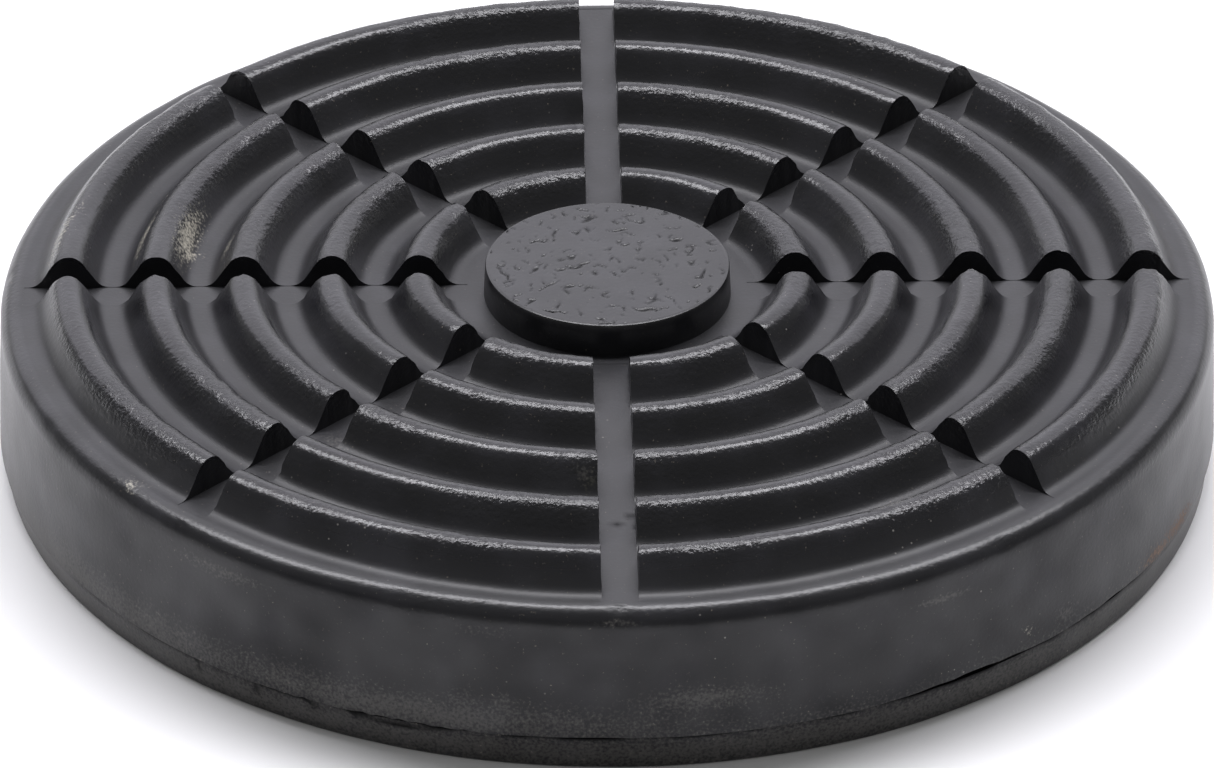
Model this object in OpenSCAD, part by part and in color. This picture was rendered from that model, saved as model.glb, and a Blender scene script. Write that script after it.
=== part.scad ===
// Round rubber pad for the arm of a vehicle lift, moulded in one piece.
// The origin is the centre of the underside, with the ribbed face up.

/* [Body] */
// Widest diameter, at the parting line of the mould
pad_d = 120; // [90:1:200]
// Height of the flat face that the ribs stand on
base_h = 17.4; // [10:0.1:40]
// How far the side wall leans in, from the parting line up to the rim
wall_lean = 0.3; // [0:0.1:1.5]
// Rounding of the rim's top edge
edge_r = 2.1; // [0.5:0.1:2.2]
// Height of the parting line above the underside
parting_h = 3.6; // [2:0.1:8]
// How far the lower band steps in under the parting line
parting_step = 0.25; // [0.1:0.05:1]
// How far the lower band tapers in, from the parting line to the underside
foot_lean = 0.4; // [0:0.1:1.5]
// Rounding of the bottom edge
foot_edge_r = 0.4; // [0.1:0.1:1.5]

/* [Ribs] */
// Distance from the widest edge to the crest of the outermost rib
rim_w = 7; // [7:0.1:15]
// Distance from one rib crest to the next
rib_pitch = 8.6; // [7.2:0.1:14]
// Height of the ribs above the flat face
rib_h = 3.4; // [2:0.1:3.8]
// Rounding of the rib crests
rib_crest_r = 1.4; // [0.6:0.1:1.8]
// Steepness of the rib flanks, from the flat face
rib_flank_angle = 60; // [56:1:75]
// Hollow rounding where a flank meets the flat face
rib_foot_r = 1.7; // [0.4:0.1:1.8]
// Least flat ring left between the disc and the innermost rib
ring_w_min = 2; // [1.8:0.1:6]

/* [Slots] */
// Number of radial slots
slot_count = 8; // [3:1:12]
// Width of a slot
slot_w = 3.5; // [1.5:0.1:6]
// How far a slot's floor lies under the flat face
slot_step = 0.1; // [0.05:0.05:2]
// Distance from the disc's foot to the inner end of a slot
slot_disc_gap = 1.6; // [0.5:0.1:1.9]
// How far a slot runs on past the outermost rib
slot_overrun = 0.7; // [0.1:0.1:0.8]
// Rounding of a slot's corners
slot_corner_r = 0.6; // [0.1:0.1:0.7]

/* [Centre disc] */
// Diameter of the disc's top face
disc_d = 24; // [14:0.5:34]
// Height of the disc above the flat face
disc_h = 3.3; // [1:0.1:6]
// How far the disc's foot stands out past its top face
disc_lean = 0.15; // [0:0.05:0.6]

/* [Hidden] */
// How far one form sinks into another, so that they join
sink = 1;
pad_r = pad_d / 2;
wall_top_r = pad_r - wall_lean;
band_top_r = pad_r - parting_step;
band_foot_r = band_top_r - foot_lean;
disc_foot_r = disc_d / 2 + disc_lean;
outer_crest_r = pad_r - rim_w;
// Height and half width of a rib's parts: crest cap, straight flank, hollow foot
flank_sin = sin(rib_flank_angle);
flank_cos = cos(rib_flank_angle);
crest_cut_h = rib_h - rib_crest_r * (1 - flank_cos);
foot_cut_h = rib_foot_r * (1 - flank_cos);
crest_half_w = rib_crest_r * flank_sin;
flank_half_w = crest_half_w + (crest_cut_h - foot_cut_h) / tan(rib_flank_angle);
rib_half_w = flank_half_w + rib_foot_r * flank_sin;
// As many ribs as fit between the rim and the disc
rib_room = outer_crest_r - rib_half_w - disc_foot_r - ring_w_min;
rib_count = floor(rib_room / rib_pitch) + 1;
slot_inner_r = disc_foot_r + slot_disc_gap;
slot_outer_r = outer_crest_r + rib_half_w + slot_overrun;
slot_cut_h = slot_step + rib_h + sink;
$fn = 192;

// Half section of the body, from the axis to the side wall
module body_section() {
    difference() {
        polygon([
            [0, 0], [band_foot_r, 0], [band_top_r, parting_h],
            [pad_r, parting_h], [wall_top_r, base_h - edge_r],
            [wall_top_r, base_h], [0, base_h]
        ]);
        translate([wall_top_r - edge_r, base_h - edge_r]) corner_waste(edge_r);
        translate([band_foot_r - foot_edge_r, foot_edge_r])
            mirror([0, 1]) corner_waste(foot_edge_r);
    }
}

// What is cut off a square corner to round it
module corner_waste(r) {
    difference() {
        square(r + sink);
        circle(r);
    }
}

// Section of one rib, with its crest over the origin and its foot on the X axis
module rib_section() {
    intersection() {
        translate([0, rib_h - rib_crest_r]) circle(rib_crest_r);
        translate([-crest_half_w, crest_cut_h]) square([2 * crest_half_w, rib_h]);
    }
    polygon([
        [-flank_half_w, -sink], [flank_half_w, -sink],
        [flank_half_w, foot_cut_h], [crest_half_w, crest_cut_h],
        [-crest_half_w, crest_cut_h], [-flank_half_w, foot_cut_h]
    ]);
    for (side = [0, 1]) mirror([side, 0]) rib_foot_section();
}

// The hollow foot on one side of a rib
module rib_foot_section() {
    difference() {
        translate([flank_half_w, -sink])
            square([rib_half_w - flank_half_w, foot_cut_h + sink]);
        translate([rib_half_w, rib_foot_r]) circle(rib_foot_r);
    }
}

// Body and ribs, turned about the axis
module turned_body() {
    rotate_extrude() {
        body_section();
        for (i = [0 : rib_count - 1])
            translate([outer_crest_r - i * rib_pitch, base_h]) rib_section();
    }
}

// Plan of one slot along the X axis, with rounded corners
module slot_plan() {
    straight_l = slot_outer_r - slot_inner_r - 2 * slot_corner_r;
    straight_w = slot_w - 2 * slot_corner_r;
    translate([slot_inner_r + slot_corner_r, -slot_w / 2]) square([straight_l, slot_w]);
    translate([slot_inner_r, -straight_w / 2])
        square([slot_outer_r - slot_inner_r, straight_w]);
    for (x = [0, straight_l], y = [-straight_w / 2, straight_w / 2])
        translate([slot_inner_r + slot_corner_r + x, y]) circle(slot_corner_r);
}

// The radial slots, which cut every rib down to just under the flat face
module slots() {
    for (i = [0 : slot_count - 1])
        rotate(i * 360 / slot_count)
            translate([0, 0, base_h - slot_step])
                linear_extrude(slot_cut_h) slot_plan();
}

// Raised disc in the middle
module centre_disc() {
    translate([0, 0, base_h]) {
        cylinder(h = disc_h, r1 = disc_foot_r, r2 = disc_d / 2);
        translate([0, 0, -sink]) cylinder(h = sink, r = disc_foot_r);
    }
}

module pad() {
    color("#2b2b2e") {
        difference() {
            turned_body();
            slots();
        }
        centre_disc();
    }
}

pad();
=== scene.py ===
"""Worn black rubber pad from the arm of a vehicle lift, dressed for a studio picture."""
import logging
import math
from dataclasses import dataclass, field
from enum import Enum
from typing import Sequence

import bmesh
import bpy
import numpy as np
from mathutils import Matrix, Vector, noise


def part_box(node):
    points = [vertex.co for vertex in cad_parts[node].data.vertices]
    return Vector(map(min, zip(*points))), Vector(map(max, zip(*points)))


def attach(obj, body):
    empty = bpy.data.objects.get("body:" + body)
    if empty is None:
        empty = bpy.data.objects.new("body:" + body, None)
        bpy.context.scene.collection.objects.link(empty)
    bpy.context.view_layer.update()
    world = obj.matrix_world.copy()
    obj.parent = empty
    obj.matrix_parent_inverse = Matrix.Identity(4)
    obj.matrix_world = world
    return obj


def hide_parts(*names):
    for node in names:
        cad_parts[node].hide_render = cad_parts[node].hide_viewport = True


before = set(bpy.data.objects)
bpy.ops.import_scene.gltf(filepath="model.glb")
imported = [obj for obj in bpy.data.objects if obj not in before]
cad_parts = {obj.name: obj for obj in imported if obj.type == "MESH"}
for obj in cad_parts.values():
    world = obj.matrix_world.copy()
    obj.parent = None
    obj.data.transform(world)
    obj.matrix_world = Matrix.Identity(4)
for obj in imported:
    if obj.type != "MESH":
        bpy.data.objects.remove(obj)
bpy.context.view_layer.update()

MM = 0.001
# Distance in metres under which two points are one
NEAR = 1e-6
LOG = logging.getLogger("rubber_pad")
Point = tuple[float, float]
# Nicks in the rim: turn from the front in degrees, radius, size and depth in mm
RIM_NICKS = ((-66.5, 59.4, 0.5, 0.2), (-0.2, 58.6, 0.5, 0.2), (38.0, 59.3, 0.8, 0.15),
             (-95.0, 59.3, 0.7, 0.15), (-20.0, 59.2, 0.8, 0.15))
# Slits along the parting line: turn of the middle, reach in degrees, width in mm
SEAM_SLITS = ((34.5, 11.0, 0.5), (-3.0, 9.0, 0.18), (54.0, 14.0, 0.3), (-60.0, 16.0, 0.12),
              (-23.0, 12.0, 0.12), (80.0, 18.0, 0.3))


class Kind(Enum):
    """What a mark on the rubber is, with its colour and how much of that shows."""

    # Pale dust colour; one band of it round the lower band is a painted reflection of the bright
    # floor
    DUST_AND_REFLECTION = ("#807d78", 0.22)
    CHALK = ("#c4bfb0", 0.75)
    SOIL = ("#755b4a", 0.9)
    GRIME = ("#232319", 0.9)
    # Painted shade: near black standing in for the shade inside cuts, cracks, pits, ticks and the
    # parting line's groove
    SHADED_CUT = ("#0a0a0b", 1.0)

    @property
    def colour(self) -> str:
        """The mark's sRGB colour."""
        return self.value[0]

    @property
    def strength(self) -> float:
        """How much of the rubber the mark covers at most."""
        return self.value[1]


def linear(hex_colour: str) -> tuple[float, float, float, float]:
    """Turn an sRGB hex colour into Blender's linear one.

    Args:
        hex_colour: six hex digits after a hash mark.

    Returns:
        Linear red, green and blue, and an alpha of 1.
    """
    parts = [int(hex_colour[i:i + 2], 16) / 255 for i in (1, 3, 5)]
    bent = [c / 12.92 if c <= 0.04045 else ((c + 0.055) / 1.055) ** 2.4 for c in parts]
    return (*bent, 1.0)


def add_node(tree: bpy.types.NodeTree, kind: str, settings: dict | None = None,
             links: dict | None = None) -> bpy.types.Node:
    """Add one node with its settings, values and links.

    Args:
        tree: the node tree that gets the node.
        kind: the node's Blender type name.
        settings: attributes of the node to set.
        links: input name or number to a value, or to an output socket to join.

    Returns:
        The new node.
    """
    node = tree.nodes.new(kind)
    for name, value in (settings or {}).items():
        setattr(node, name, value)
    for name, value in (links or {}).items():
        if isinstance(value, bpy.types.NodeSocket):
            tree.links.new(value, node.inputs[name])
        else:
            node.inputs[name].default_value = value
    return node


@dataclass(frozen=True)
class PadSizes:
    """Real sizes of the pad in millimetres; the radius comes from the frame."""

    radius: float
    base_height: float = 17.4
    wall_lean: float = 0.3
    edge_round: float = 2.1
    parting_height: float = 3.6
    parting_step: float = 0.25
    seam_gap: float = 0.1
    seam_depth: float = 0.15
    foot_lean: float = 0.4
    foot_round: float = 0.4
    rib_count: int = 5
    rim_width: float = 7.0
    rib_pitch: float = 8.6
    rib_height: float = 3.4
    crest_round: float = 1.8
    flank_angle: float = math.radians(57)
    rib_foot_round: float = 1.5
    slot_count: int = 8
    slot_width: float = 3.5
    slot_step: float = 0.03
    slot_inner: float = 13.75
    slot_overrun: float = 0.4
    slot_corner: float = 0.6
    disc_radius: float = 12.0
    disc_height: float = 3.3
    disc_lean: float = 0.15
    disc_edge_round: float = 0.25

    @property
    def wall_top(self) -> float:
        """Radius of the side wall at the rim."""
        return self.radius - self.wall_lean

    @property
    def outer_crest(self) -> float:
        """Radius of the outermost rib's crest."""
        return self.radius - self.rim_width

    @property
    def flank_top(self) -> Point:
        """Half width and height where a rib's flank meets its rounded crest."""
        return (self.crest_round * math.sin(self.flank_angle),
                self.rib_height - self.crest_round * (1 - math.cos(self.flank_angle)))

    @property
    def flank_foot(self) -> Point:
        """Half width and height where a rib's flank meets its hollow foot."""
        height = self.rib_foot_round * (1 - math.cos(self.flank_angle))
        half, top = self.flank_top
        return half + (top - height) / math.tan(self.flank_angle), height

    @property
    def rib_half(self) -> float:
        """Half width of a rib at its foot."""
        return self.flank_foot[0] + self.rib_foot_round * math.sin(self.flank_angle)

    @property
    def slot_outer(self) -> float:
        """Radius of the outer end of a slot."""
        return self.outer_crest + self.rib_half + self.slot_overrun

    @property
    def slot_floor(self) -> float:
        """Height of the slots' floor."""
        return self.base_height - self.slot_step


def arc(centre: Point, radius: float, start: float, end: float, steps: int) -> list[Point]:
    """Points along a circular arc, with both its ends.

    Args:
        centre: the arc's centre.
        radius: its radius.
        start: angle of the first point in degrees, from the first axis.
        end: angle of the last point in degrees.
        steps: number of equal steps.

    Returns:
        The points in order.
    """
    angles = [math.radians(start + (end - start) * i / steps) for i in range(steps + 1)]
    return [(centre[0] + radius * math.cos(a), centre[1] + radius * math.sin(a))
            for a in angles]


def straight(start: Point, end: Point, steps: int) -> list[Point]:
    """Points along a straight line, with both its ends.

    Args:
        start: first point.
        end: last point.
        steps: number of equal steps.

    Returns:
        The points in order.
    """
    return [(start[0] + (end[0] - start[0]) * i / steps,
             start[1] + (end[1] - start[1]) * i / steps) for i in range(steps + 1)]


def on_ring(turn: float, radius: float, height: float) -> tuple[float, float, float]:
    """Place a point by its turn from the front, counted to the right.

    Args:
        turn: degrees from the side that faces the photograph's camera.
        radius: distance from the pad's axis.
        height: distance from the floor.

    Returns:
        The point's X, Y and Z.
    """
    run = math.radians(turn)
    return radius * math.sin(run), -radius * math.cos(run), height


def sample(places: np.ndarray, size: float) -> np.ndarray:
    """Read smooth noise at many places.

    Args:
        places: points in millimetres.
        size: the noise's feature size in millimetres.

    Returns:
        One value from -1 to 1 for each point.
    """
    return np.array([noise.noise(Vector(p)) for p in places / size])


@dataclass
class Section:
    """Half section of the pad, from the axis underneath round to the disc's top edge."""

    sizes: PadSizes
    points: list[Point] = field(default_factory=list)

    def add(self, path: Sequence[Point]) -> None:
        """Add a stretch, without the point that it shares with the last one."""
        near = 1e-6
        for point in path:
            if not self.points or math.dist(point, self.points[-1]) > near:
                self.points.append(point)

    def add_foot(self) -> None:
        """Underside, bottom edge, and the lower band up to the parting line."""
        s = self.sizes
        top = s.radius - s.parting_step
        foot = top - s.foot_lean
        self.add(straight((0, 0), (foot - s.foot_round, 0), 3))
        self.add(arc((foot - s.foot_round, s.foot_round), s.foot_round, -90, 0, 3))
        self.add(straight((foot, s.foot_round), (top, s.parting_height), 5))
        self.add([(top - s.seam_depth, s.parting_height + s.seam_gap / 2)])

    def add_wall(self) -> None:
        """Lip of the parting line, side wall and the rim's rounded edge."""
        s = self.sizes
        lip = s.parting_height + s.seam_gap
        top = s.base_height - s.edge_round
        self.add(straight((s.radius, lip), (s.wall_top, top), 14))
        self.add(arc((s.wall_top - s.edge_round, top), s.edge_round, 0, 90, 9))

    def add_rib(self, crest: float) -> None:
        """One rib, from its outer foot over the crest to its inner foot.

        Args:
            crest: radius of the rib's crest.
        """
        s = self.sizes
        angle = math.degrees(s.flank_angle)
        base = s.base_height
        foot_x, foot_z = s.flank_foot
        top_x, top_z = s.flank_top
        foot_centre = base + s.rib_foot_round
        self.add(arc((crest + s.rib_half, foot_centre), s.rib_foot_round,
                     -90, -90 - angle, 4))
        self.add(straight((crest + foot_x, base + foot_z), (crest + top_x, base + top_z), 3))
        self.add(arc((crest, base + s.rib_height - s.crest_round), s.crest_round,
                     90 - angle, 90 + angle, 8))
        self.add(straight((crest - top_x, base + top_z), (crest - foot_x, base + foot_z), 3))
        self.add(arc((crest - s.rib_half, foot_centre), s.rib_foot_round,
                     -90 + angle, -90, 4))

    def add_disc(self) -> None:
        """Flat ring, and the disc's leaning side with its top edge."""
        s = self.sizes
        base = s.base_height
        foot = s.disc_radius + s.disc_lean
        top = base + s.disc_height
        self.add(straight(self.points[-1], (foot, base), 4))
        self.add(straight((foot, base), (s.disc_radius, top - s.disc_edge_round), 4))
        self.add(arc((s.disc_radius - s.disc_edge_round, top - s.disc_edge_round),
                     s.disc_edge_round, 0, 90, 2))

    def build(self) -> list[Point]:
        """Draw the whole section.

        Returns:
            Radius and height of each point in millimetres.
        """
        s = self.sizes
        self.add_foot()
        self.add_wall()
        flat = 2
        for i in range(s.rib_count):
            crest = s.outer_crest - i * s.rib_pitch
            self.add(straight(self.points[-1], (crest + s.rib_half, s.base_height), flat))
            self.add_rib(crest)
        self.add_disc()
        return self.points


@dataclass(frozen=True)
class Mark:
    """One stain, scratch or cut in the rubber, as a soft lens along the ring; cuts are painted shade,
    and one dust band is a painted reflection.

    Turns are in degrees from the photograph's near side, the rest in millimetres.
    """

    kind: Kind
    turn: float
    radius: float
    height: float
    half: tuple[float, float, float]
    lean: float = 0.0

    def cover(self, polar: np.ndarray) -> np.ndarray:
        """How far inside the mark each point is.

        Args:
            polar: turn, radius and height of the points.

        Returns:
            1 in the middle, 0.5 at the mark's edge and 0 outside.
        """
        away = polar - (self.turn, self.radius, self.height)
        run = math.radians(self.lean)
        along = away[:, 0] * math.cos(run) + away[:, 1] * math.sin(run)
        across = away[:, 1] * math.cos(run) - away[:, 0] * math.sin(run)
        share = np.stack([along, across, away[:, 2]], axis=1) / self.half
        return np.clip(1 - 0.5 * np.linalg.norm(share, axis=1), 0, 1)


MARKS = (
    Mark(Kind.CHALK, -102.0, 42.4, 18.9, (5.6, 1.1, 1.3)),
    Mark(Kind.CHALK, -99.0, 41.6, 18.2, (2.2, 0.5, 0.8), 20),
    Mark(Kind.GRIME, -100.5, 43.8, 18.2, (6.0, 1.6, 1.6)),
    Mark(Kind.CHALK, -99.4, 53.9, 19.7, (5.6, 0.45, 0.9), 9),
    Mark(Kind.CHALK, -100.1, 46.5, 19.4, (4.8, 0.45, 0.9), 4),
    Mark(Kind.CHALK, -98.9, 38.2, 19.5, (3.6, 0.4, 0.9), 7),
    # Two soft pale marks make a whitish spot on the rim's rounded edge
    Mark(Kind.CHALK, -52.5, 58.4, 17.4, (0.8, 0.5, 0.5), 40),
    Mark(Kind.DUST_AND_REFLECTION, -51.5, 57.6, 17.4, (1.4, 0.3, 0.5), -30),
    # Painted shade: near-black spots for the shade in a cut and a pit at the rim's edge
    Mark(Kind.SHADED_CUT, -44.5, 59.3, 17.2, (0.35, 0.35, 0.6)),
    Mark(Kind.SHADED_CUT, -0.2, 58.0, 17.4, (0.3, 0.25, 0.4)),
    Mark(Kind.DUST_AND_REFLECTION, -4.6, 37.8, 19.4, (1.4, 0.9, 0.9)),
    Mark(Kind.GRIME, -3.9, 38.2, 19.0, (1.2, 0.8, 0.9)),
    Mark(Kind.DUST_AND_REFLECTION, -41.0, 36.0, 19.9, (2.6, 1.0, 0.7)),
    Mark(Kind.DUST_AND_REFLECTION, -43.8, 38.6, 17.6, (2.2, 1.2, 0.5)),
    Mark(Kind.DUST_AND_REFLECTION, 29.5, 52.3, 20.5, (3.0, 0.6, 0.7)),
    # Painted shade: near-black lines for the shade in cuts across the ribs
    Mark(Kind.SHADED_CUT, 27.0, 52.6, 20.6, (1.5, 0.18, 0.4), 12),
    Mark(Kind.SHADED_CUT, 24.0, 33.8, 18.9, (2.2, 0.2, 0.6), -35),
    Mark(Kind.SHADED_CUT, 30.0, 35.0, 19.0, (4.5, 0.16, 0.6), -8),
    Mark(Kind.DUST_AND_REFLECTION, 30.6, 34.7, 19.2, (4.0, 0.16, 0.6), -8),
    Mark(Kind.DUST_AND_REFLECTION, -12.4, 60.0, 14.9, (3.2, 1.0, 0.35)),
    Mark(Kind.DUST_AND_REFLECTION, -39.0, 60.0, 14.2, (5.0, 1.0, 0.6)),
    Mark(Kind.DUST_AND_REFLECTION, -33.6, 60.0, 5.9, (1.2, 1.0, 0.25)),
    Mark(Kind.DUST_AND_REFLECTION, -26.0, 60.0, 4.3, (7.0, 1.0, 1.2)),
    Mark(Kind.DUST_AND_REFLECTION, -14.5, 60.0, 5.6, (1.6, 1.0, 2.2)),
    Mark(Kind.DUST_AND_REFLECTION, -10.8, 60.0, 7.4, (1.0, 1.0, 0.8)),
    Mark(Kind.DUST_AND_REFLECTION, 7.5, 60.0, 7.7, (5.5, 1.0, 1.2)),
    Mark(Kind.CHALK, 0.5, 60.0, 5.7, (0.9, 1.0, 0.2)),
    Mark(Kind.CHALK, 41.0, 60.0, 5.9, (0.35, 1.0, 0.5)),
    Mark(Kind.DUST_AND_REFLECTION, 46.0, 60.0, 5.8, (1.3, 1.0, 0.8)),
    Mark(Kind.DUST_AND_REFLECTION, 31.0, 60.0, 13.6, (2.4, 1.0, 0.5)),
    Mark(Kind.DUST_AND_REFLECTION, 55.8, 60.0, 6.9, (0.3, 1.0, 0.7)),
    Mark(Kind.SOIL, 61.5, 60.0, 4.3, (3.0, 1.0, 0.8)),
    Mark(Kind.SOIL, 66.5, 60.0, 4.6, (3.8, 1.0, 0.9)),
    Mark(Kind.DUST_AND_REFLECTION, -0.3, 59.5, 16.3, (1.6, 0.6, 0.3)),
    Mark(Kind.DUST_AND_REFLECTION, -88.0, 60.0, 12.0, (14.0, 1.0, 5.5)),
    # Painted shade: near-black ticks for the shade in tears of the lower band
    Mark(Kind.SHADED_CUT, -41.9, 60.0, 2.6, (0.5, 1.0, 0.6)),
    Mark(Kind.SHADED_CUT, -35.2, 60.0, 2.7, (0.5, 1.0, 0.6)),
    Mark(Kind.SHADED_CUT, -29.1, 60.0, 3.0, (0.5, 1.0, 0.6)),
    Mark(Kind.SHADED_CUT, -24.6, 60.0, 3.2, (0.5, 1.0, 0.6)),
    Mark(Kind.SHADED_CUT, -20.5, 60.0, 3.0, (3.0, 1.0, 0.3)),
    # Painted shade: near-black spots for the shade in pits on the flat between ribs
    Mark(Kind.SHADED_CUT, -0.1, 43.5, 17.4, (0.6, 0.4, 0.4)),
    Mark(Kind.SHADED_CUT, 1.8, 42.0, 17.4, (0.6, 0.4, 0.4)),
    # Painted reflection: a pale band round the whole lower band, standing in for the bright floor
    # mirrored there
    Mark(Kind.DUST_AND_REFLECTION, 0.0, 60.0, 1.7, (400.0, 3.0, 2.4)),
    Mark(Kind.DUST_AND_REFLECTION, -60.0, 60.0, 4.6, (40.0, 3.0, 2.0)),
    Mark(Kind.DUST_AND_REFLECTION, -20.0, 60.0, 5.0, (26.0, 3.0, 1.8)),
)

# Cracks in the disc's top: X and Y of both ends in millimetres
CRACKS = ((0.2, 6.4, 2.3, 6.6), (-4.8, 6.6, -5.3, 4.2), (-7.4, 4.3, -6.2, 4.5),
          (-5.5, -1.5, -3.4, -0.8), (-3.6, -0.8, -1.7, 0.2), (-6.6, -5.2, -4.6, -3.4),
          (-4.8, -4.5, -2.9, -4.4), (-8.4, -7.9, -7.0, -6.8), (-6.7, -9.2, -4.2, -9.2),
          (2.3, -8.9, 5.4, -8.9), (8.7, -3.3, 9.6, -1.2), (8.0, -4.7, 8.9, -4.2),
          (-10.7, -0.7, -9.8, -3.2), (6.2, 4.5, 7.6, 4.4), (-7.8, -1.7, -6.9, -0.6))


@dataclass
class RubberPad:
    """The one moulding: turned body, radial slots and the wear of its surface."""

    sizes: PadSizes
    turn_steps: int = 480
    crest_rough: float = 0.06
    wall_wave: float = 0.06
    cut_rough: float = 0.16
    crack_depth: float = 0.08

    def build(self) -> bpy.types.Object:
        """Model the pad.

        Returns:
            The finished mesh object.
        """
        cell = self.slot_cell()
        self.cut_slot(cell)
        pad = self.join_cells(cell)
        self.cap_disc(pad)
        self.wear(pad)
        return pad

    def slot_cell(self) -> bpy.types.Object:
        """Draw the half section point by point and spin it over one slot's share.

        Returns:
            An eighth of the turned body, with the X axis in its middle.
        """
        share = math.tau / self.sizes.slot_count
        points = Section(self.sizes).build()
        bpy.ops.object.select_all(action="DESELECT")
        bpy.ops.mesh.primitive_plane_add(size=MM, location=(0, 0, 0))
        cell = bpy.context.object
        bpy.ops.object.mode_set(mode="EDIT")
        bpy.ops.mesh.select_all(action="SELECT")
        bpy.ops.mesh.merge(type="CENTER")
        for start, end in zip(points, points[1:]):
            step = ((end[0] - start[0]) * MM, 0, (end[1] - start[1]) * MM)
            bpy.ops.mesh.extrude_region_move(TRANSFORM_OT_translate={"value": step})
        bpy.ops.mesh.select_all(action="SELECT")
        bpy.ops.mesh.spin(steps=self.turn_steps // self.sizes.slot_count, angle=share,
                          center=(0, 0, 0), axis=(0, 0, 1))
        bpy.ops.mesh.select_all(action="SELECT")
        bpy.ops.mesh.remove_doubles(threshold=NEAR)
        bpy.ops.mesh.normals_make_consistent(inside=False)
        bpy.ops.object.mode_set(mode="OBJECT")
        edge = max(cell.data.vertices, key=lambda v: abs(v.co.y))
        side = math.copysign(share / 2, edge.co.y)
        cell.data.transform(Matrix.Rotation(-side, 4, "Z"))
        return cell

    def cut_slot(self, cell: bpy.types.Object) -> None:
        """Cut the slot's outline into the cell and sink what lies inside it.

        Args:
            cell: the share of the body that holds one slot.
        """
        s = self.sizes
        half = s.slot_width / 2
        cuts = [((0, half), (0, 1)), ((0, -half), (0, 1)),
                ((s.slot_inner, 0), (1, 0)), ((s.slot_outer, 0), (1, 0))]
        bpy.ops.object.mode_set(mode="EDIT")
        for place, normal in cuts:
            self.select_faces(cell, s.slot_width, s.slot_inner - 1, s.slot_outer + 1)
            bpy.ops.mesh.bisect(plane_co=(place[0] * MM, place[1] * MM, 0),
                                plane_no=(*normal, 0), threshold=NEAR)
        self.select_faces(cell, half, s.slot_inner, s.slot_outer)
        bpy.ops.mesh.extrude_region_move(TRANSFORM_OT_translate={"value": (0, 0, 0)})
        bpy.ops.transform.resize(value=(1, 1, 0),
                                 center_override=(0, 0, s.slot_floor * MM))
        bpy.ops.object.mode_set(mode="OBJECT")

    def select_faces(self, cell: bpy.types.Object, half: float, inner: float,
                     outer: float) -> None:
        """Select the top faces of a strip along the X axis.

        Args:
            cell: the object in edit mode.
            half: half width of the strip in millimetres.
            inner: where the strip starts.
            outer: where it ends.
        """
        bpy.ops.mesh.select_all(action="DESELECT")
        mesh = bmesh.from_edit_mesh(cell.data)
        for face in mesh.faces:
            middle = face.calc_center_median() / MM
            face.select_set(abs(middle.y) < half and inner < middle.x < outer
                            and middle.z > self.sizes.slot_floor - 1)
        bmesh.update_edit_mesh(cell.data)

    def join_cells(self, cell: bpy.types.Object) -> bpy.types.Object:
        """Copy the cell round the axis and weld the copies to one body.

        Args:
            cell: the share of the body with its slot.

        Returns:
            The whole body.
        """
        turn = math.tau / self.sizes.slot_count
        cells = [cell]
        for i in range(1, self.sizes.slot_count):
            bpy.ops.object.select_all(action="DESELECT")
            cell.select_set(True)
            bpy.context.view_layer.objects.active = cell
            bpy.ops.object.duplicate()
            copy = bpy.context.object
            copy.data.transform(Matrix.Rotation(turn * i, 4, "Z"))
            cells.append(copy)
        for part in cells:
            part.select_set(True)
        bpy.context.view_layer.objects.active = cell
        bpy.ops.object.join()
        bpy.ops.object.mode_set(mode="EDIT")
        bpy.ops.mesh.select_all(action="SELECT")
        bpy.ops.mesh.remove_doubles(threshold=NEAR)
        bpy.ops.mesh.normals_make_consistent(inside=False)
        bpy.ops.object.mode_set(mode="OBJECT")
        cell.name = "moulded_pad"
        return cell

    def cap_disc(self, pad: bpy.types.Object) -> None:
        """Close the disc's top with a grid that is fine enough for its cracks.

        Args:
            pad: the slotted body, open at the top of its disc.
        """
        bpy.ops.object.mode_set(mode="EDIT")
        bpy.ops.mesh.select_all(action="DESELECT")
        bpy.ops.mesh.select_non_manifold()
        bpy.ops.mesh.fill_grid(span=self.turn_steps // 4)
        bpy.ops.mesh.select_all(action="SELECT")
        bpy.ops.mesh.normals_make_consistent(inside=False)
        bpy.ops.object.mode_set(mode="OBJECT")

    def wear(self, pad: bpy.types.Object) -> None:
        """Tilt and tear the parting line, roughen the crests and dent the rim.

        Args:
            pad: the slotted body.
        """
        s = self.sizes
        mesh = pad.data
        count = len(mesh.vertices)
        places = np.empty(count * 3)
        mesh.vertices.foreach_get("co", places)
        places = places.reshape(-1, 3) / MM
        normals = np.empty(count * 3, dtype=np.float32)
        mesh.vertex_normals.foreach_get("vector", normals)
        normals = normals.reshape(-1, 3)
        flat = places[:, 2] < NEAR
        self.soil(mesh, places)
        moved = places + normals * self.roughness(places)[:, None]
        self.open_seam(places, moved)
        moved[flat] = places[flat]
        moved[:, 2] = np.clip(moved[:, 2], 0, s.base_height + s.rib_height)
        out = np.hypot(moved[:, 0], moved[:, 1])
        moved[:, :2] *= np.minimum(1, s.radius / np.maximum(out, NEAR))[:, None]
        mesh.vertices.foreach_set("co", (moved * MM).ravel())
        mesh.update()
        bpy.ops.object.select_all(action="DESELECT")
        pad.select_set(True)
        bpy.context.view_layer.objects.active = pad
        bpy.ops.object.shade_smooth_by_angle(angle=math.radians(40))

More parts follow.
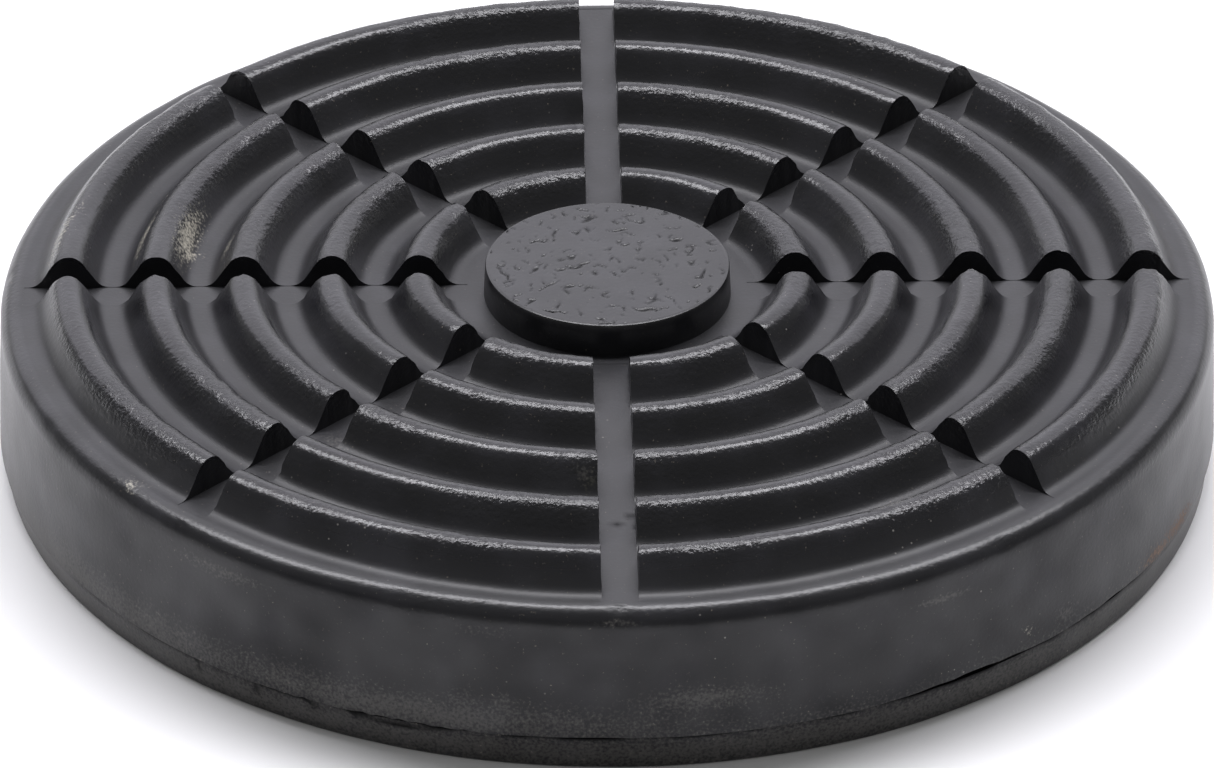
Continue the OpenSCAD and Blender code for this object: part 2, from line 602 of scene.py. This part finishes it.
    def roughness(self, places: np.ndarray) -> np.ndarray:
        """How far each point of the surface lies outside the moulded form.

        Args:
            places: points of the surface in millimetres.

        Returns:
            The offsets along the surface's normals in millimetres.
        """
        s = self.sizes
        radius = np.hypot(places[:, 0], places[:, 1])
        height = (places[:, 2] - s.base_height) / s.rib_height
        on_rib = radius > s.disc_radius + 1
        crest = np.clip((height - 0.55) / 0.25, 0, 1) * on_rib
        sector = math.tau / s.slot_count
        angle = np.arctan2(places[:, 1], places[:, 0])
        aside = np.abs(np.sin(angle - sector * np.round(angle / sector))) * radius
        cut = np.clip(1 - (aside - s.slot_width / 2) / 0.5, 0, 1) * (height > 0.15) * on_rib
        offset = self.wall_wave * (sample(places, 9.0) + 0.4 * sample(places, 3.0))
        lumps = sample(places, 1.5) + 0.5 * sample(places, 0.9)
        patches = np.clip(0.8 + 2.2 * sample(places + 5, 14.0), 0.4, 2.2)
        offset += self.crest_rough * crest * patches * (lumps - 0.35)
        offset -= self.crack_depth * self.cracks(places)
        offset += self.cut_rough * cut * (sample(places + 40, 0.8) - 0.4)
        for turn, ring, size, depth in RIM_NICKS:
            nick = np.array(on_ring(turn, ring, s.base_height - 0.3))
            offset -= depth * np.exp(-((places - nick) ** 2).sum(axis=1) / size ** 2)
        return offset

    def cracks(self, places: np.ndarray) -> np.ndarray:
        """Drying cracks and small holes in the disc's top.

        Args:
            places: points of the moulded form in millimetres.

        Returns:
            1 in the middle of a crack and 0 outside.
        """
        s = self.sizes
        flat = places[:, :2].copy()
        flat[:, 0] += 0.5 * sample(places + 11, 0.9)
        flat[:, 1] += 0.5 * sample(places + 23, 0.9)
        width = 0.26
        deep = np.zeros(len(places))
        for x0, y0, x1, y1 in CRACKS:
            start = np.array((x0, y0))
            run = np.array((x1, y1)) - start
            share = np.clip((flat - start) @ run / (run @ run), 0, 1)
            away = np.linalg.norm(flat - start - share[:, None] * run, axis=1)
            thick = width * (1 - 0.7 * np.abs(2 * share - 1))
            deep = np.maximum(deep, np.clip(1 - away / thick, 0, 1))
        veins = np.clip(1 - np.abs(sample(places + 31, 1.3)) * 7, 0, 1)
        deep = np.maximum(deep, veins * np.clip(sample(places + 47, 1.1) * 4 - 0.5, 0, 0.9))
        pores = np.clip(sample(places + 59, 0.55) * 5 - 3.1, 0, 0.8)
        deep = np.maximum(deep, pores)
        top = places[:, 2] > s.base_height + s.disc_height - 0.02
        inside = np.hypot(places[:, 0], places[:, 1]) < s.disc_radius - 0.3
        return deep * top * inside

    def soil(self, mesh: bpy.types.Mesh, places: np.ndarray) -> None:
        """Store where the rubber is worn, dusty or stained, and where shade and a reflection are
        painted, for its material.

        Args:
            mesh: the pad's mesh.
            places: points of the moulded form in millimetres.
        """
        s = self.sizes
        radius = np.hypot(places[:, 0], places[:, 1])
        turn = np.degrees(np.arctan2(places[:, 0], -places[:, 1]))
        polar = np.stack([turn, radius, places[:, 2]], axis=1)
        polar[:, 0] += 0.5 * sample(places, 1.1)
        polar[:, 1] += 0.15 * sample(places + 7, 1.1)
        layers = {kind: np.zeros(len(places)) for kind in Kind}
        for mark in MARKS:
            layers[mark.kind] = np.maximum(layers[mark.kind], mark.cover(polar))
        height = (places[:, 2] - s.base_height) / s.rib_height
        on_rib = radius > s.disc_radius + 0.5
        edge = np.clip((radius - s.wall_top + s.edge_round) / 0.4, 0, 1) * (height > -0.7)
        crest = np.maximum(np.clip((height - 0.35) / 0.4, 0, 1) * on_rib, 0.25 * edge)
        valley = np.clip((0.45 - height) / 0.3, 0, 1) * (height > -0.1) * (1 - edge)
        # Painted shade along the parting line: the groove and the ring just under it go near black,
        # so a soft dark band fades down the lower band like a shadow under the lip
        seam_shade = np.abs(places[:, 2] - s.parting_height - s.seam_gap / 4) < s.seam_gap / 2 - 0.01
        seam_shade = seam_shade * (radius > s.radius - 2) * np.clip(0.85 + sample(places, 3.0), 0, 1)
        # Painted shade mask: cuts, cracks, pits and the parting line, all coloured near black
        cut = np.maximum.reduce([layers[Kind.SHADED_CUT], self.cracks(places), seam_shade])
        cluster = 0.5 + 0.5 * sample(places + 83, 8.0)
        stains = [layers[k] for k in (Kind.DUST_AND_REFLECTION, Kind.CHALK, Kind.SOIL, Kind.GRIME)]
        wall = (radius > s.wall_top - 0.8) * (height < -0.3)
        gloss = 0.5 + 0.05 * sample(places, 5.0) - 0.13 * wall
        gloss += wall * (0.16 * sample(places + 3, 11.0) + 0.1 * sample(places + 9, 3.0))
        patches = np.clip(0.65 + 1.4 * sample(places + 5, 14.0), 0.35, 1)
        finish = [gloss, patches, np.zeros(len(places)), np.ones(len(places))]
        # The wear layer's third channel is the painted-shade mask; the stains layer's dust channel
        # also holds the painted reflection band
        for name, channels in (("stains", stains), ("wear", [crest, valley, cut, cluster]),
                               ("finish", finish)):
            layer = mesh.attributes.new(name, "FLOAT_COLOR", "POINT")
            layer.data.foreach_set("color", np.stack(channels, axis=1).ravel())

    def open_seam(self, places: np.ndarray, moved: np.ndarray) -> None:
        """Tilt the parting line as it runs, and open the slits along it.

        Args:
            places: points of the moulded form in millimetres.
            moved: the same points with their wear, which this changes.
        """
        s = self.sizes
        turn = np.degrees(np.arctan2(places[:, 0], -places[:, 1]))
        height = places[:, 2]
        side = np.hypot(places[:, 0], places[:, 1]) > s.radius - 2
        run = np.radians(turn)
        tilt = 0.44 * np.cos(run) + 0.41 * np.sin(run) - 0.41
        share = np.minimum(height / s.parting_height, (12 - height) / (12 - s.parting_height))
        moved[:, 2] += tilt * np.clip(share, 0, 1) * side
        gap = np.zeros(len(turn))
        for middle, reach, width in SEAM_SLITS:
            gap = np.maximum(gap, width * np.clip(1 - np.abs(turn - middle) / reach, 0, 1))
        gap *= 1 + 0.5 * sample(places * (1, 1, 0), 2.5)
        lip = side & (np.abs(height - s.parting_height - s.seam_gap) < 0.02)
        groove = side & (np.abs(height - s.parting_height - s.seam_gap / 2) < 0.02)
        torn = np.clip(1 - np.abs(turn + 23) / 13, 0, 0.5) * sample(places, 1.0)
        moved[lip, 2] += gap[lip] + torn[lip] * 0.5
        moved[groove, 2] += gap[groove] / 2
        inward = np.where(groove, gap * 2, np.where(lip, np.abs(torn) * 0.25, 0))
        moved[:, :2] *= (1 - inward / s.radius)[:, None]


@dataclass
class Recipe:
    """A material's node tree, with short ways to reckon in it."""

    tree: bpy.types.NodeTree

    def maths(self, kind: str, *values: object) -> bpy.types.NodeSocket:
        """Join values with one calculation.

        Args:
            kind: the Math node's operation.
            values: numbers or sockets.

        Returns:
            The result's socket.
        """
        return add_node(self.tree, "ShaderNodeMath", {"operation": kind},
                        dict(enumerate(values))).outputs["Value"]

    def vector(self, kind: str, result: str, links: dict) -> bpy.types.NodeSocket:
        """Do one vector calculation.

        Args:
            kind: the Vector Math node's operation.
            result: name of the output to use.
            links: the node's inputs.

        Returns:
            The result's socket.
        """
        return add_node(self.tree, "ShaderNodeVectorMath", {"operation": kind},
                        links).outputs[result]

    def ramp(self, value: bpy.types.NodeSocket, low: float,
             high: float) -> bpy.types.NodeSocket:
        """Rise smoothly from 0 to 1 between two values, in either order.

        Args:
            value: what to look at.
            low: where the result is 0.
            high: where the result is 1.

        Returns:
            The result's socket.
        """
        return add_node(self.tree, "ShaderNodeMapRange",
                        {"interpolation_type": "SMOOTHSTEP"},
                        {"Value": value, "From Min": low, "From Max": high}
                        ).outputs["Result"]

    def noise(self, place: bpy.types.NodeSocket, size: float, detail: float = 2.0,
              output: str = "Fac") -> bpy.types.NodeSocket:
        """Noise with features of a given size.

        Args:
            place: coordinates in millimetres.
            size: feature size in millimetres.
            detail: number of finer layers.
            output: "Fac" for a value or "Color" for three of them.

        Returns:
            The noise's socket.
        """
        return add_node(self.tree, "ShaderNodeTexNoise", links={
            "Vector": place, "Scale": 1 / size, "Detail": detail}).outputs[output]

    def cells(self, place: bpy.types.NodeSocket, size: float) -> bpy.types.NodeSocket:
        """Distance to scattered points.

        Args:
            place: coordinates in millimetres.
            size: how far the points lie apart in millimetres.

        Returns:
            The distance's socket, where 1 is that size.
        """
        return add_node(self.tree, "ShaderNodeTexVoronoi", links={
            "Vector": place, "Scale": 1 / size}).outputs["Distance"]

    def layer(self, name: str) -> tuple[bpy.types.NodeSocket, ...]:
        """Read the four channels of one of the mesh's own layers.

        Args:
            name: the layer's name.

        Returns:
            The channels' sockets.
        """
        found = add_node(self.tree, "ShaderNodeAttribute", {"attribute_name": name})
        parts = add_node(self.tree, "ShaderNodeSeparateColor", links={
            "Color": found.outputs["Color"]}).outputs
        return parts["Red"], parts["Green"], parts["Blue"], found.outputs["Alpha"]

    def between(self, share: bpy.types.NodeSocket, low: object,
                high: object) -> bpy.types.NodeSocket:
        """Slide between two values.

        Args:
            share: 0 for the first value and 1 for the second.
            low: the first value or its socket.
            high: the second value or its socket.

        Returns:
            The result's socket.
        """
        return add_node(self.tree, "ShaderNodeMapRange", links={
            "Value": share, "To Min": low, "To Max": high}).outputs["Result"]

    def blend(self, share: bpy.types.NodeSocket, under: object,
              over: object) -> bpy.types.NodeSocket:
        """Lay one colour over another.

        Args:
            share: how much of the upper colour shows.
            under: the lower colour or its socket.
            over: the upper colour or its socket.

        Returns:
            The result's socket.
        """
        return add_node(self.tree, "ShaderNodeMix", {"data_type": "RGBA"}, {
            0: share, 6: under, 7: over}).outputs[2]

    def most(self, masks: Sequence[bpy.types.NodeSocket]) -> bpy.types.NodeSocket:
        """The greatest of several values.

        Args:
            masks: the sockets.

        Returns:
            The result's socket.
        """
        best = masks[0]
        for mask in masks[1:]:
            best = self.maths("MAXIMUM", best, mask)
        return best


@dataclass(frozen=True)
class MouldedRubber:
    """Black carbon-filled rubber, pressed in a steel mould, then worn and dusty.

    The mould leaves a satin face, so flat places mirror the studio softly at a low
    angle, while the rib crests are torn and pitted and break their highlights up.
    """

    colour: str = "#151518"
    film_colour: str = "#2e2e33"
    roughness: float = 0.32
    crest_roughness: float = 0.24
    valley_roughness: float = 0.44
    marked_roughness: float = 0.7
    ior: float = 1.5
    grain_mm: float = 0.018
    crease_mm: float = 0.12
    cut_mm: float = 0.08

    def build(self) -> bpy.types.Material:
        """Make the material.

        Returns:
            The rubber.
        """
        material = bpy.data.materials.new("moulded_black_rubber")
        material.use_nodes = True
        tree = material.node_tree
        tree.nodes.clear()
        recipe = Recipe(tree)
        coords = add_node(tree, "ShaderNodeTexCoord")
        place = recipe.vector("SCALE", "Vector", {0: coords.outputs["Object"],
                                                  "Scale": 1 / MM})
        # The third channel of wear is painted shade in cuts, cracks and under the parting line
        crest, valley, cut, cluster = recipe.layer("wear")
        gloss, patches = recipe.layer("finish")[:2]
        rugged = recipe.maths("MULTIPLY", crest, patches)
        height = self.relief(recipe, place, rugged, cut)
        bump = add_node(tree, "ShaderNodeBump", links={
            "Height": height, "Strength": 1.0, "Distance": MM})
        colour, dirt_and_painted_reflection = self.surface(recipe, place, cut, cluster)
        rough = recipe.between(crest, self.roughness, self.crest_roughness)
        rough = recipe.between(valley, rough, self.valley_roughness)
        rough = recipe.between(dirt_and_painted_reflection, rough, self.marked_roughness)
        # Where that painted shade lies, the reflection is nearly taken away as well
        shader = add_node(tree, "ShaderNodeBsdfPrincipled", links={
            "Base Color": colour, "Roughness": rough, "IOR": self.ior,
            "Specular IOR Level": recipe.between(cut, gloss, 0.03), "Normal": bump.outputs["Normal"]})
        add_node(tree, "ShaderNodeOutputMaterial", links={
            "Surface": shader.outputs["BSDF"]})
        return material

    def relief(self, recipe: Recipe, place: bpy.types.NodeSocket,
               crest: bpy.types.NodeSocket,
               cut: bpy.types.NodeSocket) -> bpy.types.NodeSocket:
        """Height of the fine relief in millimetres.

        Args:
            recipe: the material's nodes.
            place: coordinates in millimetres.
            crest: where the worn crests are.
            cut: where cuts and cracks are.

        Returns:
            The height's socket.
        """
        grain = recipe.noise(place, 0.45, 3.0)
        size = recipe.between(crest, self.grain_mm, self.crease_mm)
        deep = recipe.maths("MULTIPLY", cut, self.cut_mm)
        return recipe.maths("SUBTRACT", recipe.maths("MULTIPLY", grain, size), deep)

    def surface(self, recipe: Recipe, place: bpy.types.NodeSocket,
                cut: bpy.types.NodeSocket, cluster: bpy.types.NodeSocket
                ) -> tuple[bpy.types.NodeSocket, bpy.types.NodeSocket]:
        """Colour of the rubber with its dust and stains, painted shade in its cuts, cracks and
        parting line, and a painted reflection on the lower band.

        Args:
            recipe: the material's nodes.
            place: coordinates in millimetres.
            cut: where the painted shade of cuts, cracks, pits and the parting line lies.
            cluster: where specks of dust gather.

        Returns:
            The colour, and how much dirt and painted reflection cover the rubber.
        """
        film = recipe.ramp(recipe.noise(place, 6.0, 4.0), 0.42, 0.75)
        film = recipe.maths("MULTIPLY", film, 0.4)
        colour = recipe.blend(film, linear(self.colour), linear(self.film_colour))
        grit = recipe.noise(place, 0.3, 3.0)
        specks = recipe.cells(place, 1.3)
        speck = recipe.ramp(specks, 0.1, 0.05)
        speck = recipe.maths("MULTIPLY", speck, recipe.ramp(cluster, 0.6, 0.85))
        # The dust channel also holds a painted reflection of the floor round the lower band
        dust, chalk, soil, grime = recipe.layer("stains")
        covers = []
        for kind, patch in ((Kind.GRIME, grime), (Kind.SOIL, soil), (Kind.DUST_AND_REFLECTION, dust),
                            (Kind.CHALK, chalk)):
            reach = recipe.maths("ADD", grit, recipe.maths("MULTIPLY", patch, 0.5))
            cover = recipe.maths("MULTIPLY", recipe.ramp(reach, 0.66, 1.06), kind.strength)
            if kind is Kind.DUST_AND_REFLECTION:
                cover = recipe.maths("MAXIMUM", cover, speck)
            colour = recipe.blend(cover, colour, linear(kind.colour))
            covers.append(cover)
        # Painted shade: cuts, cracks, pits and the parting line go near black
        colour = recipe.blend(recipe.ramp(cut, 0.3, 0.9), colour, linear(Kind.SHADED_CUT.colour))
        return colour, recipe.most(covers)


@dataclass
class Studio:
    """Pale floor, soft lamps and a white surrounding."""

    floor_half: float = 3.0
    floor_colour: str = "#f4f4f4"
    surrounding: float = 0.25
    wall_low: float = 0.08
    wall_high: float = 0.12

    def build(self) -> None:
        """Set the floor, the lamps and the world."""
        self.add_floor()
        self.add_world()
        self.add_panel("back_wall", (0, 1.0, 0.68), (0, 0, 0.02), (2.4, 0.95), 1.26, "#f7f5ff")
        self.add_panel("overhead", (0, 0.35, 1.1), (0, 0, 0.02), (1.6, 0.22), 14.0, "#fbfaff")

    def add_floor(self) -> None:
        """A wide plain floor under the pad."""
        bpy.ops.object.select_all(action="DESELECT")
        bpy.ops.mesh.primitive_plane_add(size=2 * self.floor_half, location=(0, 0, 0))
        floor = bpy.context.object
        floor.name = "floor"
        material = bpy.data.materials.new("matte_white_board")
        material.use_nodes = True
        shader = material.node_tree.nodes["Principled BSDF"]
        shader.inputs["Base Color"].default_value = linear(self.floor_colour)
        shader.inputs["Roughness"].default_value = 0.9
        shader.inputs["Specular IOR Level"].default_value = 0.0
        floor.data.materials.append(material)

    def add_world(self) -> None:
        """A dim grey surrounding with a low white wall that closes the floor off."""
        world = bpy.data.worlds.new("studio")
        bpy.context.scene.world = world
        world.use_nodes = True
        tree = world.node_tree
        tree.nodes.clear()
        aim = add_node(tree, "ShaderNodeTexCoord")
        rise = add_node(tree, "ShaderNodeSeparateXYZ", links={
            "Vector": aim.outputs["Generated"]})
        level = add_node(tree, "ShaderNodeMapRange", links={
            "Value": rise.outputs["Z"], "From Min": self.wall_low, "From Max": self.wall_high,
            "To Min": 1.0, "To Max": self.surrounding})
        light = add_node(tree, "ShaderNodeBackground", links={
            "Color": linear("#ffffff"), "Strength": level.outputs["Result"]})
        add_node(tree, "ShaderNodeOutputWorld", links={
            "Surface": light.outputs["Background"]})

    def add_panel(self, name: str, place: Sequence[float], target: Sequence[float],
                  size: tuple[float, float], radiance: float, tint: str) -> None:
        """Add a soft light panel.

        Args:
            name: the panel's name.
            place: its centre in metres.
            target: the point that it faces.
            size: its width and height in metres.
            radiance: how bright its face looks, where 1 is white.
            tint: the light's sRGB colour.
        """
        light = bpy.data.lights.new(name, "AREA")
        light.shape = "RECTANGLE"
        light.size, light.size_y = size
        light.energy = radiance * 4 * size[0] * size[1]
        light.color = linear(tint)[:3]
        lamp = bpy.data.objects.new(name, light)
        lamp.location = place
        aim = Vector(target) - Vector(place)
        lamp.rotation_euler = aim.to_track_quat("-Z", "Y").to_euler()
        lamp.visible_camera = False
        bpy.context.scene.collection.objects.link(lamp)


@dataclass(frozen=True)
class PhotoCamera:
    """The photograph's viewpoint, as found from the pad's outline, ribs and slots."""

    distance: float = 1.126
    elevation: float = math.radians(31.24)
    azimuth: float = math.radians(1.35)
    pitch: float = math.radians(0.30)
    roll: float = math.radians(0.243)
    focal_px: float = 11355.0
    image_width_px: float = 1214.0
    sensor_mm: float = 36.0

    def build(self) -> None:
        """Create the camera and make it the scene's own."""
        camera = bpy.data.cameras.new("photo_camera")
        camera.sensor_width = self.sensor_mm
        camera.lens = self.focal_px * self.sensor_mm / self.image_width_px
        camera.clip_end = 100
        holder = bpy.data.objects.new("photo_camera", camera)
        ahead = Vector((0, math.cos(self.elevation), -math.sin(self.elevation)))
        above = Vector((0, math.sin(self.elevation), math.cos(self.elevation)))
        aim = (ahead + above * math.tan(self.pitch)).normalized()
        right = aim.cross(above).normalized()
        above = right.cross(aim)
        rolled_right = right * math.cos(self.roll) + above * math.sin(self.roll)
        rolled_above = above * math.cos(self.roll) - right * math.sin(self.roll)
        turn = Matrix((rolled_right, rolled_above, -aim)).transposed().to_4x4()
        place = Matrix.Translation(-ahead * self.distance)
        holder.matrix_world = Matrix.Rotation(-self.azimuth, 4, "Z") @ place @ turn
        bpy.context.scene.collection.objects.link(holder)
        bpy.context.scene.camera = holder


def main() -> None:
    """Build the pad, its finish, the studio and the camera."""
    low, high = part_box("pad")
    sizes = PadSizes(radius=(high[0] - low[0]) / 2 / MM)
    PhotoCamera().build()
    pad = RubberPad(sizes).build()
    pad.data.materials.clear()
    pad.data.materials.append(MouldedRubber().build())
    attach(pad, "root")
    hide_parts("pad")
    LOG.info("%s: %d vertices, %d faces", pad.name, len(pad.data.vertices),
             len(pad.data.polygons))
    Studio().build()
    bpy.context.scene.view_settings.view_transform = "Standard"


if __name__ == "__main__":
    logging.basicConfig(level=logging.INFO, format="%(message)s")
    main()
